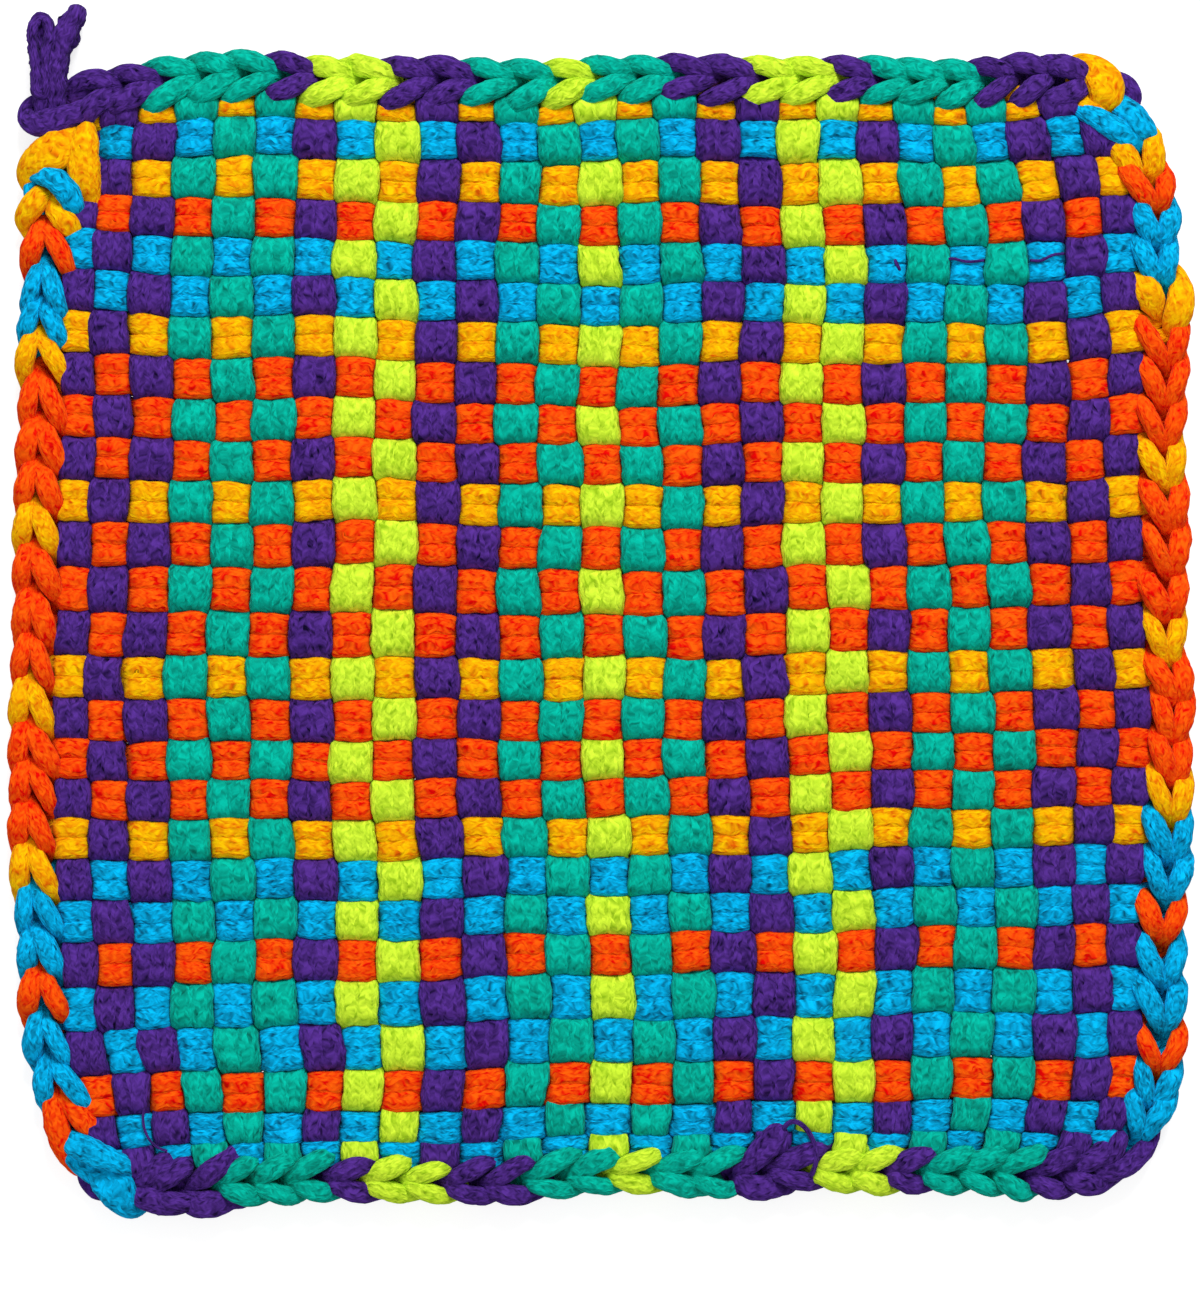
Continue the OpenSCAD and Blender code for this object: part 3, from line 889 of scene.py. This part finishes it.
class Nodes:
    """Node tree of a material or a world, with short calls that add to it."""

    def __init__(self, owner):
        owner.use_nodes = True
        self.tree = owner.node_tree
        self.tree.nodes.clear()

    def add(self, kind, inputs, **settings):
        """Outputs of a new node whose inputs are given numbers, colours or other outputs."""
        made = self.tree.nodes.new(kind)
        for key, value in settings.items():
            setattr(made, key, value)
        for key, value in inputs.items():
            if isinstance(value, bpy.types.NodeSocket):
                self.tree.links.new(value, made.inputs[key])
            else:
                made.inputs[key].default_value = value
        return made.outputs

    def maths(self, operation, *values):
        return self.add("ShaderNodeMath", dict(enumerate(values)), operation=operation)[0]

    def vector(self, *values):
        return self.add("ShaderNodeCombineXYZ", dict(enumerate(values)))[0]

    def noise(self, vector, scale, detail):
        inputs = {"Vector": vector, "Scale": scale, "Detail": detail}
        return self.add("ShaderNodeTexNoise", inputs)["Fac"]

    def between(self, value, low, high):
        inputs = {"Value": value, "From Min": low, "From Max": high}
        return self.add("ShaderNodeMapRange", inputs, interpolation_type="SMOOTHSTEP")["Result"]

    def mix(self, a, b, factor):
        inputs = {"A": a, "B": b, "Factor": factor}
        return self.add("ShaderNodeMix", inputs, data_type="RGBA")["Result"]

    def seen_directly(self):
        """1 for a ray from the camera, off a mirror or through glass, and 0 for other rays."""
        rays = self.add("ShaderNodeLightPath", {})
        seen = self.maths("MAXIMUM", rays["Is Camera Ray"], rays["Is Glossy Ray"])
        return self.maths("MAXIMUM", seen, rays["Is Transmission Ray"])


# Cottons: light colour, dark colour as its shaded copy for painted shade in the knit, how strongly
# legs of the knit show, and how strongly shade is painted into gaps and flecks
COTTON = {
    "purple_cotton": ((0.345, 0.188, 0.58), (0.03, 0.005, 0.135), 2.0, 0.12),
    "teal_cotton": ((0.0, 0.755, 0.66), (0.0, 0.385, 0.33), 1.8, 0.15),
    "lime_cotton": ((0.87, 1.0, 0.24), (0.56, 0.73, 0.08), 1.9, 0.35),
    "orange_cotton": ((1.0, 0.79, 0.0), (0.86, 0.36, 0.0), 1.7, 0.4),
    "blue_cotton": ((0.0, 0.76, 1.0), (0.0, 0.30, 0.43), 2.0, 0.3),
    "red_cotton": ((1.0, 0.38, 0.02), (0.88, 0.0, 0.0), 2.3, 0.6),
}
# Way round a strand, between two ribs of its knit, and how far ribs drift, in millimetres
STRAND_GIRTH = 11.0
RIB = 0.95
DRIFT = 1.6
# Features to the metre
DRIFT_SCALE = 330
FUZZ_SCALE = 2600
# Features to the millimetre, along and across a strand
GAPS_ALONG = 0.8
LEGS = (0.7, 1.45)
FLECKS = (0.9, 1.6)
SOFT_PATCHES = (0.5, 0.7)
# How far a leg slants across for each millimetre along, and what sets apart a rib's two sides
LEG_SLANT = 0.55
LEG_SIDES = 3.0
# Where a groove, a gap and a fleck fade in
GROOVE_FADE = (0.2, 0.5)
GAP_FADE = (0.45, 0.72)
FLECK_FADE = (0.52, 0.85)
# Heights in the bump, as shares of its depth in metres
GROOVE_HEIGHT = -0.16
LEG_HEIGHT = -0.9
FUZZ_HEIGHT = 0.15
GAP_HEIGHT = -0.3
FLECK_HEIGHT = -0.15
BUMP_DEPTH = 0.0004
BUMP_STRENGTH = 0.7
# Shade from the light colour, 0, to the dark one, 1: random tone of the cotton and painted shade
PLAIN_SHADE = 0.37
FUZZ_SHADE = 0.25
SOFT_SHADE = 0.7
# Shade painted into the creases between strands: reach in metres, where it fades, and its share of
# the dark colour
PAINTED_CREASE_SHADE_REACH = 0.0009
PAINTED_CREASE_SHADE_FADE = (0.0, 0.45)
PAINTED_CREASE_SHADE_DARK = 0.2
PAINTED_CREASE_SHADE_SAMPLES = 6
# Shine: the fuzz makes some spots rougher
ROUGHNESS = 0.86
FUZZ_ROUGHNESS = 0.2
SPECULAR = 0.05
SHEEN = 0.02
SHEEN_ROUGHNESS = 0.5


def linear(rgb):
    """Screen colour as the linear one that materials take."""
    return tuple(c / 12.92 if c <= 0.04045 else ((c + 0.055) / 1.055) ** 2.4 for c in rgb)


def cotton(name, light, dark, legs, gap_shade):
    """Soft cotton knit: ribs along the strand, short gaps between them with painted shade, and
    fuzz.
    """
    material = bpy.data.materials.new(name)
    nodes = Nodes(material)
    maths, vector, noise, between = nodes.maths, nodes.vector, nodes.noise, nodes.between

    def centred(value):
        return maths("SUBTRACT", value, 0.5)

    def patches(density, sideways, start):
        """Noise stretched along the strand."""
        lengthwise = maths("MULTIPLY", along, density[0])
        return noise(vector(lengthwise, maths("MULTIPLY", sideways, density[1]), start), 1.0, 1)

    def total(first, *parts):
        """The first value, plus each of the other values times its share."""
        for value, share in parts:
            first = maths("ADD", first, maths("MULTIPLY", value, share))
        return first

    strand = nodes.add("ShaderNodeAttribute", {}, attribute_name="strand")["Vector"]
    along, around, seed = nodes.add("ShaderNodeSeparateXYZ", {0: strand})
    spot = nodes.add("ShaderNodeTexCoord", {})["Object"]
    drift = centred(noise(spot, DRIFT_SCALE, 1))
    across = total(maths("MULTIPLY", around, STRAND_GIRTH), (drift, DRIFT))
    rib = maths("DIVIDE", across, RIB)
    from_middle = centred(maths("FRACT", rib))
    side = maths("SIGN", from_middle)
    groove = between(maths("ABSOLUTE", from_middle), *GROOVE_FADE)
    gap_place = vector(maths("MULTIPLY", along, GAPS_ALONG), maths("FLOOR", rib), seed)
    # gaps between ribs: a dent in the bump, and shade painted into the colour
    gap = maths("MULTIPLY", groove, between(noise(gap_place, 1.0, 1), *GAP_FADE))
    slant = maths("MULTIPLY", maths("MULTIPLY", along, side), LEG_SLANT)
    leg_start = maths("MULTIPLY_ADD", side, LEG_SIDES, seed)
    leg = centred(patches(LEGS, maths("SUBTRACT", across, slant), leg_start))
    fleck = between(patches(FLECKS, across, seed), *FLECK_FADE)
    soft = centred(patches(SOFT_PATCHES, across, seed))
    fuzz = centred(noise(spot, FUZZ_SCALE, 2))
    height = total(
        maths("MULTIPLY", groove, GROOVE_HEIGHT),
        (leg, LEG_HEIGHT),
        (fuzz, FUZZ_HEIGHT),
        (gap, GAP_HEIGHT),
        (fleck, FLECK_HEIGHT),
    )
    # painted shade and random tone: legs, gaps, flecks, fuzz and soft patches mix towards the dark
    # colour
    shade = total(
        PLAIN_SHADE, (gap, gap_shade), (fleck, gap_shade), (leg, legs), (fuzz, FUZZ_SHADE), (soft, SOFT_SHADE)
    )
    colour = nodes.mix((*linear(light), 1), (*linear(dark), 1), shade)
    # painted shade: darker towards the dark colour in creases between strands, found by an ambient
    # occlusion node
    reach = {"Distance": PAINTED_CREASE_SHADE_REACH}
    crease_occlusion = nodes.add("ShaderNodeAmbientOcclusion", reach, samples=PAINTED_CREASE_SHADE_SAMPLES)["AO"]
    painted_crease_shade = (*(PAINTED_CREASE_SHADE_DARK * c for c in linear(dark)), 1)
    colour = nodes.mix(painted_crease_shade, colour, between(crease_occlusion, *PAINTED_CREASE_SHADE_FADE))
    bump = {"Strength": BUMP_STRENGTH, "Distance": BUMP_DEPTH, "Height": height}
    shader = {
        "Base Color": colour,
        "Roughness": maths("MULTIPLY_ADD", fuzz, FUZZ_ROUGHNESS, ROUGHNESS),
        "Specular IOR Level": SPECULAR,
        "Sheen Weight": SHEEN,
        "Sheen Roughness": SHEEN_ROUGHNESS,
        "Normal": nodes.add("ShaderNodeBump", bump)["Normal"],
    }
    surface = nodes.add("ShaderNodeBsdfPrincipled", shader)["BSDF"]
    nodes.add("ShaderNodeOutputMaterial", {"Surface": surface})
    return material


MATERIALS = {slot: cotton(slot, *looks) for slot, looks in COTTON.items()}


def piece(name, mesh, slot, node_name):
    """Knit object that is shown in place of a node of the frame."""
    made = bpy.data.objects.new(name, mesh)
    scene.collection.objects.link(made)
    mesh.materials.append(MATERIALS[slot])
    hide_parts(node_name)
    return made


# Loose yarn lying on the cloth, by loop: width, then points x, y, height
LOOSE_THREADS = {
    (True, 18): (
        (
            0.9,
            (
                (32.2, -89.6, 6.0),
                (32.8, -88.2, 6.8),
                (34.0, -87.5, 7.0),
                (35.4, -87.9, 7.0),
                (36.7, -89.2, 6.9),
                (37.6, -90.8, 6.9),
                (38.1, -92.6, 7.0),
                (38.2, -94.4, 7.2),
                (37.8, -96.2, 6.8),
                (37.2, -97.4, 6.0),
            ),
        ),
    ),
    (True, 3): (
        (
            0.45,
            (
                (-81.6, -84.4, 6.2),
                (-81.9, -86.6, 6.9),
                (-81.6, -89.0, 6.9),
                (-80.6, -91.0, 6.9),
                (-79.2, -92.2, 6.9),
                (-77.6, -92.9, 6.3),
            ),
        ),
    ),
    (True, 25): (
        (0.5, ((60.8, 66.0, 6.1), (62.4, 66.5, 6.5), (65.2, 65.9, 6.5), (68.2, 66.2, 6.1))),
        (0.5, ((76.4, 66.2, 6.1), (78.4, 66.1, 6.5), (80.4, 67.1, 6.6), (82.6, 67.4, 6.1))),
        (0.6, ((52.2, 66.4, 6.1), (52.6, 65.6, 6.5), (53.2, 64.4, 6.1))),
    ),
}
# How far below its points a thread comes back, as a share of its width
THREAD_RETURN = 0.3


def thread(width, points, rng):
    """Thin tube along the points and back just below them, so that it is closed."""
    rows = [(x, y, z, width, width) for x, y, z in points]
    rows += [(x, y, z - THREAD_RETURN * width, width, width) for x, y, z in points[::-1]]
    return tube(ring_path(rows), rng, FINE_STEP, *THREAD_TUBE)


for is_warp, colours, kind in ((True, WARP_COLOURS, "warp"), (False, WEFT_COLOURS, "weft")):
    for number, letter in enumerate(colours, 1):
        rng = np.random.default_rng(SEED + number + (WARP_SEEDS if is_warp else 0))
        node_name = f"{kind}_loop_{number:02d}"
        ring = ring_of(number, is_warp, rng)
        tubes = [tube(ring, rng, SAMPLE_STEP, *WOVEN_TUBE)]
        tubes += [thread(*loose, rng) for loose in LOOSE_THREADS.get((is_warp, number), ())]
        mesh = knit_mesh(node_name + "_knit", tubes, rng)
        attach(piece(node_name + "_knit", mesh, SLOTS[letter], node_name), "weave")


# Hanging loop. Its strands run up from the corner, fold over at the far end and come back on top;
# rows are x, y, low height, high height, width, thickness
HANGING_RIGHT = (
    (-97.4, 92.0, 3.6, 4.7, 2.8, 1.8),
    (-97.5, 94.8, 3.2, 5.2, 3.2, 2.4),
    (-97.6, 98.0, 2.5, 5.9, 3.4, 3.2),
    (-97.4, 101.0, 2.3, 6.0, 3.4, 3.4),
    (-97.0, 103.8, 2.3, 6.1, 3.7, 3.4),
    (-96.1, 106.4, 2.4, 6.2, 4.2, 3.3),
    (-95.0, 108.7, 2.6, 6.1, 3.9, 3.2),
    (-94.1, 110.3, 3.2, 5.4, 3.2, 3.0),
)
HANGING_LEFT = (
    (-100.2, 92.0, 3.5, 4.4, 2.8, 1.8),
    (-100.2, 94.8, 2.9, 4.7, 3.2, 2.2),
    (-100.2, 98.0, 2.1, 4.7, 3.5, 2.6),
    (-100.3, 101.0, 1.9, 4.5, 3.6, 2.6),
    (-100.6, 103.8, 1.9, 4.4, 3.8, 2.6),
    (-100.6, 106.4, 2.0, 4.4, 3.8, 2.6),
    (-100.1, 108.3, 2.4, 4.1, 3.4, 2.5),
)
# Eye on top of the left strand: x, y, height, width, thickness
HANGING_EYE = (
    (-100.9, 96.6, 5.9, 2.2, 2.4),
    (-101.0, 99.4, 6.3, 2.2, 2.6),
    (-101.2, 102.2, 6.5, 2.0, 2.6),
    (-101.6, 104.8, 6.5, 1.9, 2.6),
    (-101.6, 107.2, 6.4, 1.9, 2.6),
    (-100.9, 109.2, 6.0, 2.0, 2.6),
    (-99.6, 109.6, 5.8, 2.1, 2.6),
    (-98.7, 108.0, 6.3, 2.0, 2.6),
    (-98.7, 105.6, 6.6, 1.9, 2.6),
    (-99.3, 103.2, 6.7, 2.0, 2.6),
    (-99.4, 100.4, 6.4, 2.2, 2.6),
    (-99.2, 97.2, 6.0, 2.2, 2.4),
    (-99.8, 95.6, 5.4, 2.0, 2.0),
)


def folded(rows):
    """Closed path that goes out along the rows at their low height and back at their high one."""
    out = [(x, y, low, width, thick) for x, y, low, high, width, thick in rows]
    back = [(x, y, high, width, thick) for x, y, low, high, width, thick in rows[::-1]]
    return ring_path(out + back)


rng = np.random.default_rng(SEED)
strands = [
    tube(folded(HANGING_RIGHT), rng, FINE_STEP, *HANGING_TUBE, upright=True),
    tube(folded(HANGING_LEFT), rng, FINE_STEP, *HANGING_TUBE, upright=True),
    tube(ring_path(HANGING_EYE), rng, FINE_STEP, *EYE_TUBE),
]
mesh = knit_mesh("hanging_loop_knit", strands, rng)
hanger = piece("hanging_loop_knit", mesh, "purple_cotton", "hanging_loop")
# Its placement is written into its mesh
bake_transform(hanger)

# Camera straight above, framed as the photograph is: millimetres to a pixel, the photograph's
# height and middle and the part's origin in it, in pixels, the lens, and the height that it frames
PIXEL = 0.179
PHOTO_HEIGHT = 1292
PHOTO_MIDDLE_X = 600
PHOTO_MIDDLE_Y = 646
ORIGIN_X = 602
ORIGIN_Y = 631
LENS = 135
SENSOR = 36
IN_FRAME_Z = 4.0
camera_data = bpy.data.cameras.new("camera")
camera_data.lens = LENS
camera_data.sensor_width = SENSOR
camera_data.clip_start = 0.01
camera_data.clip_end = 10
camera = bpy.data.objects.new("camera", camera_data)
scene.collection.objects.link(camera)
camera.location = (
    (PHOTO_MIDDLE_X - ORIGIN_X) * PIXEL * MM,
    (ORIGIN_Y - PHOTO_MIDDLE_Y) * PIXEL * MM,
    (PHOTO_HEIGHT * PIXEL * LENS / SENSOR + IN_FRAME_Z) * MM,
)
scene.camera = camera

# Floor that looks white, in metres
FLOOR_HALF = 3.0
FLOOR_GREY = 0.5
FLOOR_GLOW = 0.74


def floor_material():
    """Plain grey that glows where it is seen directly, and only there."""
    material = bpy.data.materials.new("floor")
    nodes = Nodes(material)
    grey = {"Color": (FLOOR_GREY, FLOOR_GREY, FLOOR_GREY, 1)}
    diffuse = nodes.add("ShaderNodeBsdfDiffuse", grey)[0]
    strength = nodes.maths("MULTIPLY", nodes.seen_directly(), FLOOR_GLOW)
    glow = nodes.add("ShaderNodeEmission", {"Strength": strength})[0]
    surface = nodes.add("ShaderNodeAddShader", {0: diffuse, 1: glow})[0]
    nodes.add("ShaderNodeOutputMaterial", {"Surface": surface})
    return material


floor_mesh = bpy.data.meshes.new("floor")
floor_signs = ((-1, -1), (1, -1), (1, 1), (-1, 1))
floor_corners = [(FLOOR_HALF * x, FLOOR_HALF * y, 0) for x, y in floor_signs]
floor_mesh.from_pydata(floor_corners, [], [(0, 1, 2, 3)])
floor_mesh.materials.append(floor_material())
floor = bpy.data.objects.new("floor", floor_mesh)
scene.collection.objects.link(floor)

# Soft studio light, and how bright the same studio looks behind the object
STUDIO_LIGHT = 0.44
STUDIO_BACKDROP = 1.0
world = bpy.data.worlds.new("studio")
scene.world = world
world_nodes = Nodes(world)
levels = {
    "Value": world_nodes.seen_directly(),
    "To Min": STUDIO_LIGHT,
    "To Max": STUDIO_BACKDROP,
}
strength = world_nodes.add("ShaderNodeMapRange", levels)["Result"]
white = {"Color": (1, 1, 1, 1), "Strength": strength}
background = world_nodes.add("ShaderNodeBackground", white)[0]
world_nodes.add("ShaderNodeOutputWorld", {"Surface": background})


def lamp(name, where, size, power):
    """Round area lamp that shines at the origin."""
    data = bpy.data.lights.new(name, "AREA")
    data.shape = "DISK"
    data.size = size
    data.energy = power
    made = bpy.data.objects.new(name, data)
    scene.collection.objects.link(made)
    made.location = where
    made.rotation_mode = "QUATERNION"
    made.rotation_quaternion = (-Vector(where)).to_track_quat("-Z", "Y")


# Place and size in metres, and power in watts
lamp("key", (0.2, 1.05, 0.95), 0.6, 17.0)
lamp("fill", (-0.5, -0.7, 1.1), 0.9, 3.0)

scene.view_settings.view_transform = "Standard"
